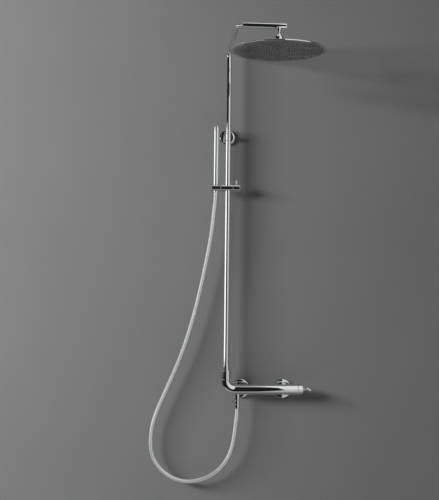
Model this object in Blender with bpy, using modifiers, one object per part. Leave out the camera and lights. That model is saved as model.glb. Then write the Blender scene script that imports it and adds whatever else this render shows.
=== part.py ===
"""Rainfall shower column: exposed mixer, telescopic riser, swivel arm, tilting head and hand shower.

Metres, +Z up. The origin is on the wall plane (Y = 0), midway between the two wall inlets.
The front of the column faces -Y and +X is to the right of someone who faces it.
"""

from math import cos, pi, radians, sin

import bmesh
import bpy
from mathutils import Matrix, Vector
from mathutils.geometry import interpolate_bezier

# Driving dimensions -------------------------------------------------------------------------
GAP = 0.0003  # left between pieces that touch
INLET_PITCH = 0.150  # between the two wall inlets
BODY_Y = -0.066  # distance of the mixer and riser axes from the wall
BODY_Z = 0.006  # mixer axis above the inlets, taken up by the eccentric unions
BODY_R = 0.018
RISER_X = -0.130
ELBOW_R = 0.032
BODY_END_X = 0.1213
CAP_END_X = 0.1386
SOCKET_SEAM_Z = 0.043
SOCKET_TOP_Z = 0.074
LEVER_SLOT = 0.0138  # from the axis to the slot's far end, on the wall side
OUTLET_X = -0.0895

TUBE_R = 0.0105  # lower riser tube
TUBE_BORE_R = 0.00935
FITTING_Z = 0.870  # bottom of the fitting on top of the lower tube
FITTING_TOP_Z = 0.894
COLLAR_TOP_Z = 0.918
BRACKET_Z = 0.888

ARM_R = 0.009
ARM_BORE_R = 0.0078
ARM_FOOT_Z = 0.725
ARM_Z = 1.1865
ARM_REACH = 0.333  # riser axis to head axis, forward
ARM_END_X = 0.024
ARM_BEND_R = 0.028
ARM_CORNER_R = 0.033

HEAD_R = 0.148
HEAD_FACE_Z = 1.108
BALL_Z = 1.147
BALL_R = 0.010

HOLDER_Z = 0.705
HOLDER_R = 0.013
HANDSET_X = -0.1715
HANDSET_R = 0.010
HANDSET_TOP_Z = 0.921

HOSE_R = 0.007
HOSE_TOP_Z = 0.722  # the hose runs up inside the hand shower's nut
HOSE_FOOT_Z = -0.0603
HOSE_STEP = 0.028  # between the points of its tube

HEAD_Y = BODY_Y - ARM_REACH
RISER = Vector((RISER_X, BODY_Y, 0))
MIXER_AXIS = Vector((0, BODY_Y, BODY_Z))
LEVER_PIVOT_X = 0.114
DIVERTER_Z = -0.0368

# The free hose's route, from the outlet under the mixer to the foot of the hand shower.
HOSE_ROUTE = [
    (OUTLET_X, BODY_Y, HOSE_FOOT_Z),
    (-0.0899, -0.066, -0.080),
    (-0.0929, -0.0655, -0.108),
    (-0.0978, -0.064, -0.150),
    (-0.1046, -0.061, -0.190),
    (-0.116, -0.057, -0.226),
    (-0.134, -0.054, -0.256),
    (-0.157, -0.052, -0.281),
    (-0.187, -0.050, -0.301),
    (-0.221, -0.048, -0.3135),
    (-0.257, -0.047, -0.3175),
    (-0.293, -0.046, -0.3115),
    (-0.328, -0.045, -0.2945),
    (-0.357, -0.045, -0.268),
    (-0.376, -0.045, -0.240),
    (-0.386, -0.045, -0.207),
    (-0.3877, -0.046, -0.167),
    (-0.3827, -0.047, -0.122),
    (-0.368, -0.048, -0.073),
    (-0.346, -0.049, -0.020),
    (-0.3215, -0.051, 0.036),
    (-0.2885, -0.053, 0.116),
    (-0.254, -0.056, 0.221),
    (-0.224, -0.059, 0.340),
    (-0.2027, -0.062, 0.444),
    (-0.1845, -0.064, 0.549),
    (-0.1763, -0.0655, 0.628),
    (-0.1727, -0.066, 0.664),
    (-0.1715, -0.066, 0.686),
    (-0.1715, -0.066, 0.704),
    (HANDSET_X, BODY_Y, HOSE_TOP_Z),
]

PARTS = "shower_column"
CUTTERS = "shower_column_cutters"


# Scene helpers ------------------------------------------------------------------------------
def clear_scene():
    for old in list(bpy.data.objects):
        bpy.data.objects.remove(old, do_unlink=True)


def collection(name):
    found = bpy.data.collections.get(name) or bpy.data.collections.new(name)
    if found.name not in bpy.context.scene.collection.children:
        bpy.context.scene.collection.children.link(found)
    return found


def make_material(name, colour, metallic, roughness):
    made = bpy.data.materials.get(name) or bpy.data.materials.new(name)
    made.use_nodes = True
    shader = made.node_tree.nodes["Principled BSDF"]
    shader.inputs["Base Color"].default_value = (*colour, 1)
    shader.inputs["Metallic"].default_value = metallic
    shader.inputs["Roughness"].default_value = roughness
    return made


def chrome():
    return make_material("chrome", (0.80, 0.81, 0.83), 1.0, 0.08)


def brass():
    return make_material("brass", (0.75, 0.62, 0.35), 1.0, 0.35)


def steel():
    return make_material("stainless_steel", (0.62, 0.62, 0.62), 1.0, 0.30)


def satin():
    return make_material("satin_hose", (0.70, 0.71, 0.72), 1.0, 0.35)


def plastic():
    return make_material("white_acetal", (0.86, 0.86, 0.84), 0.0, 0.45)


def rubber():
    return make_material("black_rubber", (0.05, 0.05, 0.05), 0.0, 0.70)


def silicone():
    return make_material("grey_silicone", (0.35, 0.35, 0.35), 0.0, 0.60)


def place(obj, material=None, cutter=False):
    """Put an object in its collection, as a visible part or as a hidden tool."""
    for old in list(obj.users_collection):
        old.objects.unlink(obj)
    collection(CUTTERS if cutter else PARTS).objects.link(obj)
    if cutter:
        obj.hide_render = True
        obj.display_type = "WIRE"
    if material:
        obj.data.materials.append(material)
    return obj


def aim(axis):
    """The rotation that turns +Z to one of the named directions."""
    return {
        "Z": Matrix.Identity(4),
        "-Z": Matrix.Rotation(pi, 4, "X"),
        "X": Matrix.Rotation(pi / 2, 4, "Y"),
        "-X": Matrix.Rotation(-pi / 2, 4, "Y"),
        "Y": Matrix.Rotation(-pi / 2, 4, "X"),
        "-Y": Matrix.Rotation(pi / 2, 4, "X"),
    }[axis]


def smooth(obj, angle=35):
    obj.data.shade_smooth()
    obj.data.set_sharp_from_angle(angle=radians(angle))


def turned(name, profile, at, axis="Z", material=None, steps=16, closed=False, cutter=False):
    """A piece of revolution. The profile is (radius, height), outer side first, top to bottom."""
    mesh = bpy.data.meshes.new(name)
    form = bmesh.new()
    points = [form.verts.new((r, 0, h)) for r, h in profile]
    pairs = list(zip(points, points[1:]))
    if closed:
        pairs.append((points[-1], points[0]))
    for pair in pairs:
        form.edges.new(pair)
    form.to_mesh(mesh)
    form.free()
    obj = bpy.data.objects.new(name, mesh)
    screw = obj.modifiers.new("turn", "SCREW")
    screw.angle = 2 * pi
    screw.steps = screw.render_steps = steps
    screw.use_merge_vertices = True
    screw.merge_threshold = 0.00001
    screw.use_smooth_shade = True
    obj.matrix_world = Matrix.Translation(at) @ aim(axis)
    return place(obj, material, cutter)


def ring(name, outer, inner, low, high, at, axis="Z", material=None, steps=16, chamfer=0.0):
    """A plain ring or sleeve from low to high along its axis."""
    c = chamfer
    profile = [(outer - c, high), (outer, high - c), (outer, low + c), (outer - c, low)]
    if not c:
        profile = [(outer, high), (outer, low)]
    profile += [(inner, low), (inner, high)]
    return turned(name, profile, at, axis, material, steps, closed=True)


def rod(name, radius, low, high, at, axis="Z", material=None, sides=16, cutter=False):
    """A plain cylinder from low to high along its axis."""
    mesh = bpy.data.meshes.new(name)
    form = bmesh.new()
    bmesh.ops.create_cone(
        form, cap_ends=True, segments=sides, radius1=radius, radius2=radius, depth=high - low
    )
    bmesh.ops.translate(form, vec=(0, 0, (low + high) / 2), verts=form.verts)
    form.to_mesh(mesh)
    form.free()
    obj = bpy.data.objects.new(name, mesh)
    smooth(obj)
    obj.matrix_world = Matrix.Translation(at) @ aim(axis)
    return place(obj, material, cutter)


def block(name, low, high, material=None, cutter=False):
    """A box between two corners."""
    mesh = bpy.data.meshes.new(name)
    form = bmesh.new()
    bmesh.ops.create_cube(form, size=1)
    low, high = Vector(low), Vector(high)
    bmesh.ops.scale(form, vec=high - low, verts=form.verts)
    form.to_mesh(mesh)
    form.free()
    obj = bpy.data.objects.new(name, mesh)
    obj.matrix_world = Matrix.Translation((low + high) / 2)
    return place(obj, material, cutter)


def tube(name, points, radius, material=None, sides=16, cutter=False):
    """A round bar along a line of points, made a mesh so that it can be cut."""
    curve = bpy.data.curves.new(name, "CURVE")
    curve.dimensions = "3D"
    curve.bevel_depth = radius
    curve.bevel_resolution = sides // 2 - 2
    curve.use_fill_caps = True
    line = curve.splines.new("POLY")
    line.points.add(len(points) - 1)
    for point, place_at in zip(line.points, points):
        point.co = (*place_at, 1)
    drawn = bpy.data.objects.new(name + "_line", curve)
    bpy.context.scene.collection.objects.link(drawn)
    bpy.context.view_layer.update()
    seen = drawn.evaluated_get(bpy.context.evaluated_depsgraph_get())
    mesh = bpy.data.meshes.new_from_object(seen)
    mesh.name = name
    form = bmesh.new()
    form.from_mesh(mesh)
    bmesh.ops.remove_doubles(form, verts=form.verts, dist=0.00001)
    bmesh.ops.recalc_face_normals(form, faces=form.faces)
    form.to_mesh(mesh)
    form.free()
    obj = bpy.data.objects.new(name, mesh)
    obj.matrix_world = drawn.matrix_world
    bpy.data.objects.remove(drawn, do_unlink=True)
    smooth(obj)
    mesh.materials.clear()
    return place(obj, material, cutter)


def hang(child, parent):
    """Parent an object and keep it where it is."""
    child.parent = parent
    child.matrix_parent_inverse = parent.matrix_world.inverted()


def combine(obj, tool, operation):
    hang(tool, obj)
    step = obj.modifiers.new(operation.lower(), "BOOLEAN")
    step.operation = operation
    step.solver = "EXACT"
    step.object = tool
    return obj


def cut(obj, tool):
    return combine(obj, tool, "DIFFERENCE")


def join(obj, tool):
    return combine(obj, tool, "UNION")


def arc(centre, start, end, steps):
    """Points on the quarter turn from centre + start to centre + end."""
    centre, start, end = Vector(centre), Vector(start), Vector(end)
    turns = [pi / 2 * i / steps for i in range(steps + 1)]
    return [centre + start * cos(t) + end * sin(t) for t in turns]


def pivot(name, at, pieces, parent=None):
    """An empty on a joint's axis, which carries the pieces that move with it."""
    empty = bpy.data.objects.new(name, None)
    empty.matrix_world = Matrix.Translation(at)
    empty.empty_display_size = 0.01
    collection(PARTS).objects.link(empty)
    if parent:
        hang(empty, parent)
    for piece in pieces:
        hang(piece, empty)
    return empty


# Wall inlets --------------------------------------------------------------------------------
def inlet(side, x):
    """One wall connection: eccentric union, cover, nut, washer and check valve."""
    wall = Vector((x, 0, 0))
    mixer = Vector((x, 0, BODY_Z))
    union = rod(f"s_union_{side}", 0.0100, -0.014, 0.022, wall, "-Y", brass())
    join(union, rod(f"s_union_{side}_seat", 0.0129, 0.018, 0.0360, mixer, "-Y", cutter=True))
    cut(union, rod(f"s_union_{side}_bore", 0.0062, -0.020, 0.0200, wall, "-Y", cutter=True))
    cut(union, rod(f"s_union_{side}_mouth", 0.0082, 0.0190, 0.040, mixer, "-Y", cutter=True))

    outside = [(0.0108, 0.0092), (0.0270, 0.0086), (0.0318, 0.0074), (0.0332, 0.0056), (0.0332, 0)]
    inside = [(0.0310, 0), (0.0310, 0.0050), (0.0258, 0.0072), (0.0108, 0.0076)]
    turned(f"escutcheon_{side}", outside + inside, wall, "-Y", chrome(), steps=24, closed=True)

    nut = rod(f"union_nut_{side}", 0.0173, 0.0230, 0.0457, mixer, "-Y", chrome(), sides=6)
    cut(nut, rod(f"union_nut_{side}_thread", 0.0134, 0.015, 0.0412, mixer, "-Y", cutter=True))
    cut(nut, rod(f"union_nut_{side}_neck", 0.0104, 0.040, 0.050, mixer, "-Y", cutter=True))
    ring(f"inlet_washer_{side}", 0.0126, 0.0080, 0.0363, 0.0381, mixer, "-Y", rubber())
    ring(f"check_valve_{side}", 0.0067, 0.0035, 0.0400, 0.0500, mixer, "-Y", plastic())


# Mixer --------------------------------------------------------------------------------------
def mixer_line(top_z, end_x):
    """The mixer's centre line: down from the riser socket, round the elbow, and to the right."""
    centre = (RISER_X + ELBOW_R, BODY_Y, BODY_Z + ELBOW_R)
    bend = arc(centre, (-ELBOW_R, 0, 0), (0, 0, -ELBOW_R), 8)
    return [Vector((RISER_X, BODY_Y, top_z)), *bend, Vector((end_x, BODY_Y, BODY_Z))]


def mixer_body():
    """The L-shaped hollow body, with two inlet spigots behind it and the outlet's neck below."""
    body = tube("mixer_body", mixer_line(SOCKET_SEAM_Z, BODY_END_X), BODY_R, chrome(), sides=20)
    spigots = [Vector((x, 0, BODY_Z)) for x in (-INLET_PITCH / 2, INLET_PITCH / 2)]
    outlet_at = Vector((OUTLET_X, BODY_Y, 0))
    for at in spigots:
        join(body, rod("spigot", 0.0100, 0.0395, 0.056, at, "-Y", cutter=True))
        join(body, rod("spigot_flange", 0.0129, 0.0384, 0.0408, at, "-Y", cutter=True))
    join(body, rod("outlet_neck", 0.0088, -0.0310, -0.004, outlet_at, cutter=True))
    cut(body, tube("water_way", mixer_line(0.050, 0.130), 0.0130, cutter=True))
    cut(body, rod("cartridge_seat", 0.0155, 0.083, 0.130, MIXER_AXIS, "X", sides=20, cutter=True))
    for at in spigots:
        cut(body, rod("spigot_bore", 0.0070, 0.030, 0.060, at, "-Y", cutter=True))
    cut(body, rod("outlet_bore", 0.0055, -0.040, 0.000, outlet_at, cutter=True))


def riser_socket():
    """The sleeve on the elbow that the lower tube stands in, with its nut and seal."""
    top, seam = SOCKET_TOP_Z, SOCKET_SEAM_Z + GAP
    outside = [(0.0117, 0.0840), (0.0117, top), (BODY_R - 0.0008, top), (BODY_R, top - 0.0008)]
    outside += [(BODY_R, seam), (0.0122, seam), (0.0122, 0.0385)]
    inside = [(0.0080, 0.0385), (0.0080, 0.0580), (0.0108, 0.0580), (0.0108, 0.0840)]
    turned("riser_socket", outside + inside, RISER, material=chrome(), steps=20, closed=True)

    nut = [(0.0122, 0.0920), (0.0130, 0.0912), (0.0130, top + GAP)]
    nut += [(0.0120, top + GAP), (0.0120, 0.0876), (0.0108, 0.0882), (0.0108, 0.0920)]
    turned("riser_nut", nut, RISER, material=chrome(), closed=True)
    ring("riser_seal", 0.0117, 0.0108, 0.0843, 0.0870, RISER, material=rubber())


def cartridge():
    """The mixing cartridge in the right-hand end, its retaining nut and the cap's guide ring."""
    shell = [(0, 0.1093), (0.0145, 0.1093), (0.0152, 0.1086), (0.0152, 0.0835), (0, 0.0835)]
    turned("cartridge", shell, MIXER_AXIS, "X", plastic(), steps=20)
    ring("cartridge_nut", 0.0152, 0.0085, 0.1096, 0.1160, MIXER_AXIS, "X", brass(), steps=20)
    ring("handle_guide_ring", 0.0152, 0.0128, 0.1163, 0.1290, MIXER_AXIS, "X", plastic(), steps=20)


def temperature_cap():
    """The end cap, which turns for temperature, with a slot that the lever tips in."""
    top, foot = CAP_END_X, BODY_END_X + GAP
    shell = [(0, top), (0.0165, top), (BODY_R, top - 0.0015), (BODY_R, foot)]
    shell += [(0.0156, foot), (0.0156, top - 0.0040), (0, top - 0.0040)]
    cap = turned("temperature_cap", shell, MIXER_AXIS, "X", chrome(), steps=20)
    half, reach = 0.0046, 0.010
    cut(cap, rod("lever_hole", half, top - reach, top + reach, MIXER_AXIS, "X", cutter=True))
    low = (top - reach, BODY_Y, BODY_Z - half)
    high = (top + reach, BODY_Y + LEVER_SLOT, BODY_Z + half)
    cut(cap, block("lever_slot", low, high, cutter=True))
    return cap


def lever():
    """The cranked pin lever, which tips for flow, with its hub on the cartridge's stem."""
    at = MIXER_AXIS
    stem = rod("cartridge_stem", 0.0035, 0.1113, 0.1250, at, "X", steel())
    hub = rod("lever_hub", 0.0065, 0.1180, 0.1300, at, "X", brass())
    cut(hub, rod("hub_stem_bore", 0.0038, 0.110, 0.1253, at, "X", cutter=True))
    cut(hub, rod("hub_pin_bore", 0.0043, 0.1253, 0.140, at, "X", cutter=True))
    rise = [(0.1440, 0.0), (0.1495, 0.0009), (0.1545, 0.0026), (0.1590, 0.0008), (0.1680, -0.0052)]
    bends = [Vector((x, BODY_Y, BODY_Z + z)) for x, z in rise]
    line = [Vector((0.1256, BODY_Y, BODY_Z)), *smooth_curve(bends, 3)]
    return [stem, hub, tube("lever", line, 0.0040, chrome())]


def handle():
    cap = pivot("temperature", MIXER_AXIS + Vector((BODY_END_X, 0, 0)), [temperature_cap()])
    pivot("flow", MIXER_AXIS + Vector((LEVER_PIVOT_X, 0, 0)), lever(), cap)


# Hose outlet --------------------------------------------------------------------------------
def outlet():
    """The diverter under the mixer, its pull knob, and the hose's lower nut and washer."""
    at = Vector((OUTLET_X, BODY_Y, 0))
    knob_at = Vector((OUTLET_X, BODY_Y, DIVERTER_Z))
    valve = rod("diverter_body", 0.0082, -0.0440, -0.0313, at, material=chrome())
    cut(valve, rod("diverter_bore", 0.0023, -0.003, 0.020, knob_at, "-X", sides=12, cutter=True))
    cut(valve, rod("diverter_way", 0.0045, -0.050, -0.025, at, cutter=True))
    knob = [(0, 0.0170), (0.0042, 0.0170), (0.0048, 0.0164), (0.0048, 0.0112), (0.0042, 0.0106)]
    knob += [(0.0020, 0.0106), (0.0020, -0.0020), (0, -0.0020)]
    pivot("diverter", knob_at, [turned("diverter_knob", knob, knob_at, "-X", chrome(), steps=12)])

    foot = HOSE_FOOT_Z + 2 * GAP
    nut = [(0.0080, -0.0443), (0.0092, -0.0452), (0.0092, -0.0500), (0.0076, foot)]
    nut += [(0.0040, foot), (0.0040, -0.0500), (0.0070, -0.0500), (0.0070, -0.0443)]
    turned("hose_nut_lower", nut, at, material=chrome(), closed=True)
    ring("hose_washer", 0.0067, 0.0042, -0.0497, -0.0478, at, material=rubber())


# Riser --------------------------------------------------------------------------------------
def lower_riser():
    """The fixed tube, the fitting on its top end and the collar that locks the upper tube."""
    ring("lower_tube", TUBE_R, TUBE_BORE_R, 0.0583, FITTING_Z - GAP, RISER, material=chrome())
    top = FITTING_TOP_Z
    shell = [(TUBE_R - 0.0010, top), (TUBE_R, top - 0.0012), (TUBE_R, FITTING_Z)]
    shell += [(TUBE_BORE_R, FITTING_Z), (TUBE_BORE_R, top)]
    fitting = turned("tube_head", shell, RISER, material=chrome(), closed=True)
    boss_at = Vector((RISER_X, BODY_Y, BRACKET_Z))
    join(fitting, rod("rod_boss", 0.0050, 0.0094, 0.0125, boss_at, "Y", cutter=True))
    low, high = top + GAP, COLLAR_TOP_Z
    ring("lock_collar", 0.0100, 0.0093, low, high, RISER, material=chrome(), chamfer=0.0004)


def bracket():
    """The wall bracket: a plate screwed to the wall, its cover, and the rod to the riser."""
    at = Vector((RISER_X, 0, BRACKET_Z))
    plate = rod("bracket_plate", 0.0180, 0.0, 0.0040, at, "-Y", steel())
    cut(plate, rod("bracket_screw_hole", 0.0028, -0.010, 0.010, at, "-Y", sides=12, cutter=True))
    screw = [(0, 0.0070), (0.0040, 0.0070), (0.0046, 0.0043), (0.0024, 0.0043)]
    screw += [(0.0024, -0.0280), (0, -0.0300)]
    turned("bracket_screw", screw, at, "-Y", steel(), steps=12)
    outside = [(0.0064, 0.0115), (0.0170, 0.0108), (0.0250, 0.0064), (0.0275, 0)]
    inside = [(0.0245, 0), (0.0225, 0.0055), (0.0160, 0.0092), (0.0064, 0.0098)]
    turned("bracket_cover", outside + inside, at, "-Y", chrome(), steps=24, closed=True)
    end = -BODY_Y - 0.0128
    bar = [(0, end), (0.0052, end), (0.0060, end - 0.0010), (0.0060, 0.0078)]
    bar += [(0.0050, 0.0078), (0.0050, 0.0200), (0, 0.0200)]
    turned("bracket_rod", bar, at, "-Y", chrome())


# Arm ----------------------------------------------------------------------------------------
def arm_line(foot_z, end_x):
    """Up the riser, forward over the bather, then round a level corner to the right."""
    rise = Vector((RISER_X, BODY_Y - ARM_BEND_R, ARM_Z - ARM_BEND_R))
    bend = arc(rise, (0, ARM_BEND_R, 0), (0, 0, ARM_BEND_R), 7)
    turn = Vector((RISER_X + ARM_CORNER_R, HEAD_Y + ARM_CORNER_R, ARM_Z))
    corner = arc(turn, (-ARM_CORNER_R, 0, 0), (0, -ARM_CORNER_R, 0), 7)
    return [Vector((RISER_X, BODY_Y, foot_z)), *bend, *corner, Vector((end_x, HEAD_Y, ARM_Z))]


def arm():
    """The upper tube, bent forward to make the arm, with the bush on its foot."""
    low, high = ARM_FOOT_Z - 0.022, ARM_FOOT_Z - GAP
    bush = ring("slide_bush", 0.0090, 0.0072, low, high, RISER, material=plastic())
    pipe = tube("arm_tube", arm_line(ARM_FOOT_Z, ARM_END_X), ARM_R, chrome())
    outlet_at = Vector((0, HEAD_Y, ARM_Z))
    join(pipe, rod("arm_boss", 0.0078, -0.0150, -0.0040, outlet_at, cutter=True))
    bore_line = arm_line(ARM_FOOT_Z - 0.010, ARM_END_X - 0.003)
    cut(pipe, tube("arm_bore", bore_line, ARM_BORE_R, sides=12, cutter=True))
    cut(pipe, rod("arm_boss_bore", 0.0045, -0.030, -0.0020, outlet_at, cutter=True))
    extend = pivot("riser_extend", RISER + Vector((0, 0, ARM_FOOT_Z)), [bush])
    return pivot("arm_swivel", RISER + Vector((0, 0, COLLAR_TOP_Z)), [pipe, swivel_ball()], extend)


def sphere_arc(radius, start, end, steps):
    """Profile points on a sphere between two latitudes in degrees."""
    angles = [radians(start + (end - start) * i / steps) for i in range(steps + 1)]
    return [(radius * cos(a), radius * sin(a)) for a in angles]


def swivel_ball():
    """The stem under the arm and the ball that the head tips on."""
    neck = [(0, 0.0242), (0.0068, 0.0242), (0.0068, 0.0205), (0.0043, 0.0172)]
    ball = sphere_arc(BALL_R, 64.5, -72, 6)
    profile = [*neck, *ball, (0, -BALL_R)]
    return turned("swivel_ball", profile, Vector((0, HEAD_Y, BALL_Z)), material=chrome())


# Head ---------------------------------------------------------------------------------------
def socket_pieces(ball_at):
    """The seat under the ball, and the nut that holds the head on the ball."""
    outside, inside = sphere_arc(0.0120, -16, -44, 4), sphere_arc(0.0103, -44, -16, 4)
    seat = turned("ball_seat", outside + inside, ball_at, material=plastic(), closed=True)
    nut = [(0.0106, 0.0120), (0.0145, 0.0048), (0.0145, -0.0160), (0.0128, -0.0160)]
    nut += [(0.0128, -0.0012), *sphere_arc(0.0124, -2, 43, 4), (0.0098, 0.0120)]
    return seat, turned("socket_nut", nut, ball_at, material=chrome(), closed=True)


def head(arm_pivot):
    """The tilting head: top shell, flow filter, silicone nozzle mat and face plate."""
    face = Vector((0, HEAD_Y, HEAD_FACE_Z))
    outside = [(0.0108, 0.0300), (0.0124, 0.0300), (0.0124, 0.0170), (0.0700, 0.0110)]
    outside += [(0.1440, 0.0042), (HEAD_R, 0.0026), (HEAD_R, 0)]
    inside = [(0.1462, 0), (0.1462, 0.0026), (0.0700, 0.0096), (0.0080, 0.0146)]
    inside += [(0.0080, 0.0258), (0.0108, 0.0258)]
    shell = turned("head_shell", outside + inside, face, material=chrome(), steps=36, closed=True)
    mat = [(0, 0.0040), (0.1150, 0.0040), (0.1440, 0.0021), (0.1440, 0.0014), (0, 0.0014)]
    mat = turned("nozzle_mat", mat, face, material=silicone(), steps=36)
    plate = [(0, 0.0011), (0.1459, 0.0011), (0.1459, 0.0003), (0.1450, 0), (0, 0)]
    plate = turned("face_plate", plate, face, material=chrome(), steps=36)
    strainer = ring("flow_filter", 0.0077, 0.0030, 0.0160, 0.0180, face, material=plastic())

    ball_at = Vector((0, HEAD_Y, BALL_Z))
    seat, nut = socket_pieces(ball_at)
    tilt = pivot("head_tilt", ball_at, [seat], arm_pivot)
    pivot("head_roll", ball_at, [nut, shell, mat, plate, strainer], tilt)


# Hand shower holder -------------------------------------------------------------------------
def slider(at, left, right):
    """The slider's body on the riser, with its brake pad and the clip's friction washer."""
    body = rod("slider_body", HOLDER_R, left, right, at, "X", chrome(), sides=20)
    riser_at = RISER + Vector((0, 0, HOLDER_Z))
    cut(body, rod("slider_bore", 0.0109, -0.030, 0.030, riser_at, sides=20, cutter=True))
    cut(body, rod("screw_bore", 0.0056, RISER_X, right + 0.010, at, "X", cutter=True))
    cut(body, rod("pivot_bore", 0.0039, left - 0.010, left + 0.0072, at, "X", cutter=True))
    pad = rod("brake_pad", 0.0052, RISER_X + 0.0108, RISER_X + 0.0145, at, "X", plastic())
    washer = ring("friction_washer", 0.0095, 0.0043, left - 0.0011, left - GAP, at, "X", plastic())
    return [body, pad, washer]


def slider_lock(at, start, end):
    """The knob that locks the slider, with its pin handle and its screw."""
    shell = [(0, end), (HOLDER_R - 0.0008, end), (HOLDER_R, end - 0.0008), (HOLDER_R, start)]
    shell += [(0.0038, start), (0.0038, end - 0.010), (0, end - 0.010)]
    knob = turned("lock_knob", shell, at, "X", chrome(), steps=20)
    pin_at = Vector((RISER_X + 0.030, BODY_Y, HOLDER_Z))
    cut(knob, rod("lock_pin_hole", 0.0024, 0.0088, 0.020, pin_at, sides=12, cutter=True))
    pin = [(0, 0.0275), (0.0022, 0.0275), (0.0030, 0.0266), (0.0030, 0.0133), (0.0021, 0.0133)]
    pin = turned("lock_pin", [*pin, (0.0021, 0.0092), (0, 0.0092)], pin_at, material=chrome(), steps=12)
    screw = rod("lock_screw", 0.0035, RISER_X + 0.0148, end - 0.0103, at, "X", steel())
    return [knob, pin, screw]


def clip(at, left, right, slider_left):
    """The clip: a tapered socket for the hose's nut, and a slot that lets the hose out."""
    body = rod("clip", HOLDER_R, left, right, at, "X", chrome(), sides=20)
    socket = [(0, 0.0200), (0.0105, 0.0200), (0.0105, 0.0110), (0.0090, -0.0132)]
    socket += [(0.0090, -0.0200), (0, -0.0200)]
    hand_at = Vector((HANDSET_X, BODY_Y, HOLDER_Z))
    cut(body, turned("clip_socket", socket, hand_at, cutter=True))
    half, reach = 0.0077, 0.020
    low = (left - reach, BODY_Y - half, HOLDER_Z - reach)
    high = (HANDSET_X, BODY_Y + half, HOLDER_Z + reach)
    cut(body, block("clip_slot", low, high, cutter=True))
    cut(body, rod("clip_bore", 0.0032, right - 0.0045, right + 0.010, at, "X", cutter=True))
    pin = rod("pivot_pin", 0.0029, right - 0.0042, slider_left + 0.0068, at, "X", steel())
    return [body, pin]


def holder():
    at = Vector((0, BODY_Y, HOLDER_Z))
    left, right = RISER_X - 0.0236, RISER_X + 0.0180
    centre = RISER + Vector((0, 0, HOLDER_Z))
    height = pivot("slider_height", centre, slider(at, left, right))
    pivot("slider_lock", centre, slider_lock(at, right + GAP, RISER_X + 0.0420), height)
    tilt_pieces = clip(at, RISER_X - 0.0550, left - 0.0014, left)
    tilt = pivot("clip_tilt", centre, tilt_pieces, height)
    pivot("hand_shower_lift", Vector((HANDSET_X, BODY_Y, HOLDER_Z)), hand_shower(), tilt)


# Hand shower --------------------------------------------------------------------------------
def hand_shower():
    """The stick hand shower, its end cap, spray strip and the hose's conical upper nut."""
    at = Vector((HANDSET_X, BODY_Y, 0))
    foot, top = HOLDER_Z + 0.0113, HANDSET_TOP_Z - 0.0040
    stick = ring("handset_tube", HANDSET_R, 0.0082, foot, top, at, material=chrome())
    window = (HANDSET_X - 0.0045, BODY_Y, top - 0.075)
    window_end = (HANDSET_X + 0.0045, BODY_Y + 0.020, top - 0.012)
    cut(stick, block("spray_window", window, window_end, cutter=True))
    cap = [(0, 0.0040), (HANDSET_R - 0.0012, 0.0040), (HANDSET_R, 0.0028), (HANDSET_R, GAP)]
    cap += [(0.0079, GAP), (0.0079, -0.0060), (0, -0.0060)]
    cap = turned("handset_cap", cap, at + Vector((0, 0, top)), material=chrome())

    low, high = top - 0.0747, top - 0.0123
    strip = ring("spray_strip", HANDSET_R - 0.0002, 0.0072, low, high, at, material=silicone())
    blank = (HANDSET_X - 0.0042, BODY_Y, foot)
    blank_end = (HANDSET_X + 0.0042, BODY_Y + 0.020, top)
    combine(strip, block("spray_blank", blank, blank_end, cutter=True), "INTERSECT")
    cone = [(0.0090, 0.0110), (0.0099, 0.0104), (0.0086, -0.0150), (0.0080, -0.0156)]
    cone += [(0.0076, -0.0156), (0.0076, 0.0110)]
    nut_at = Vector((HANDSET_X, BODY_Y, HOLDER_Z))
    nut = turned("hose_nut_upper", cone, nut_at, material=chrome(), closed=True)
    return [stick, cap, strip, nut]


# Hose ---------------------------------------------------------------------------------------
def smooth_curve(points, steps=12):
    """Many points on a smooth curve that passes through the given ones."""
    knots = [Vector(p) for p in points]
    ends = [2 * knots[0] - knots[1], *knots, 2 * knots[-1] - knots[-2]]
    dense = []
    for before, start, end, after in zip(ends, ends[1:], ends[2:], ends[3:]):
        third = (end - start).length / 3
        leave = start + (end - before).normalized() * third
        arrive = end - (after - start).normalized() * third
        dense += interpolate_bezier(start, leave, arrive, end, steps + 1)[:-1]
    return [*dense, knots[-1]]


def even_points(line, step):
    """Points spaced evenly along a line of many points."""
    lengths = [0.0]
    for a, b in zip(line, line[1:]):
        lengths.append(lengths[-1] + (b - a).length)
    count = round(lengths[-1] / step)
    spaced, i = [], 0
    for k in range(count + 1):
        want = lengths[-1] * k / count
        while i < len(line) - 2 and lengths[i + 1] < want:
            i += 1
        share = (want - lengths[i]) / (lengths[i + 1] - lengths[i])
        spaced.append(line[i].lerp(line[i + 1], share))
    return spaced


def hose():
    route = even_points(smooth_curve(HOSE_ROUTE), HOSE_STEP)
    tube("hose", route, HOSE_R, satin(), sides=10)


def build():
    clear_scene()
    inlet("left", -INLET_PITCH / 2)
    inlet("right", INLET_PITCH / 2)
    mixer_body()
    riser_socket()
    cartridge()
    handle()
    outlet()
    lower_riser()
    bracket()
    head(arm())
    holder()
    hose()


build()
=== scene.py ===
"""Looks of the rainfall shower column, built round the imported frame.

Metres, +Z up. The wall is the plane Y = 0, the front faces -Y and the origin is midway between the
two wall inlets. A piece named *_fine stands for the CAD node of the same name, except that
hose_end_fine only carries hose_fine on. The nozzles stand for no node of their own.
"""

from math import ceil, cos, pi, radians, sin, sqrt, tan

import bmesh
import bpy
from mathutils import Matrix, Vector
from mathutils.geometry import interpolate_bezier


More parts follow.
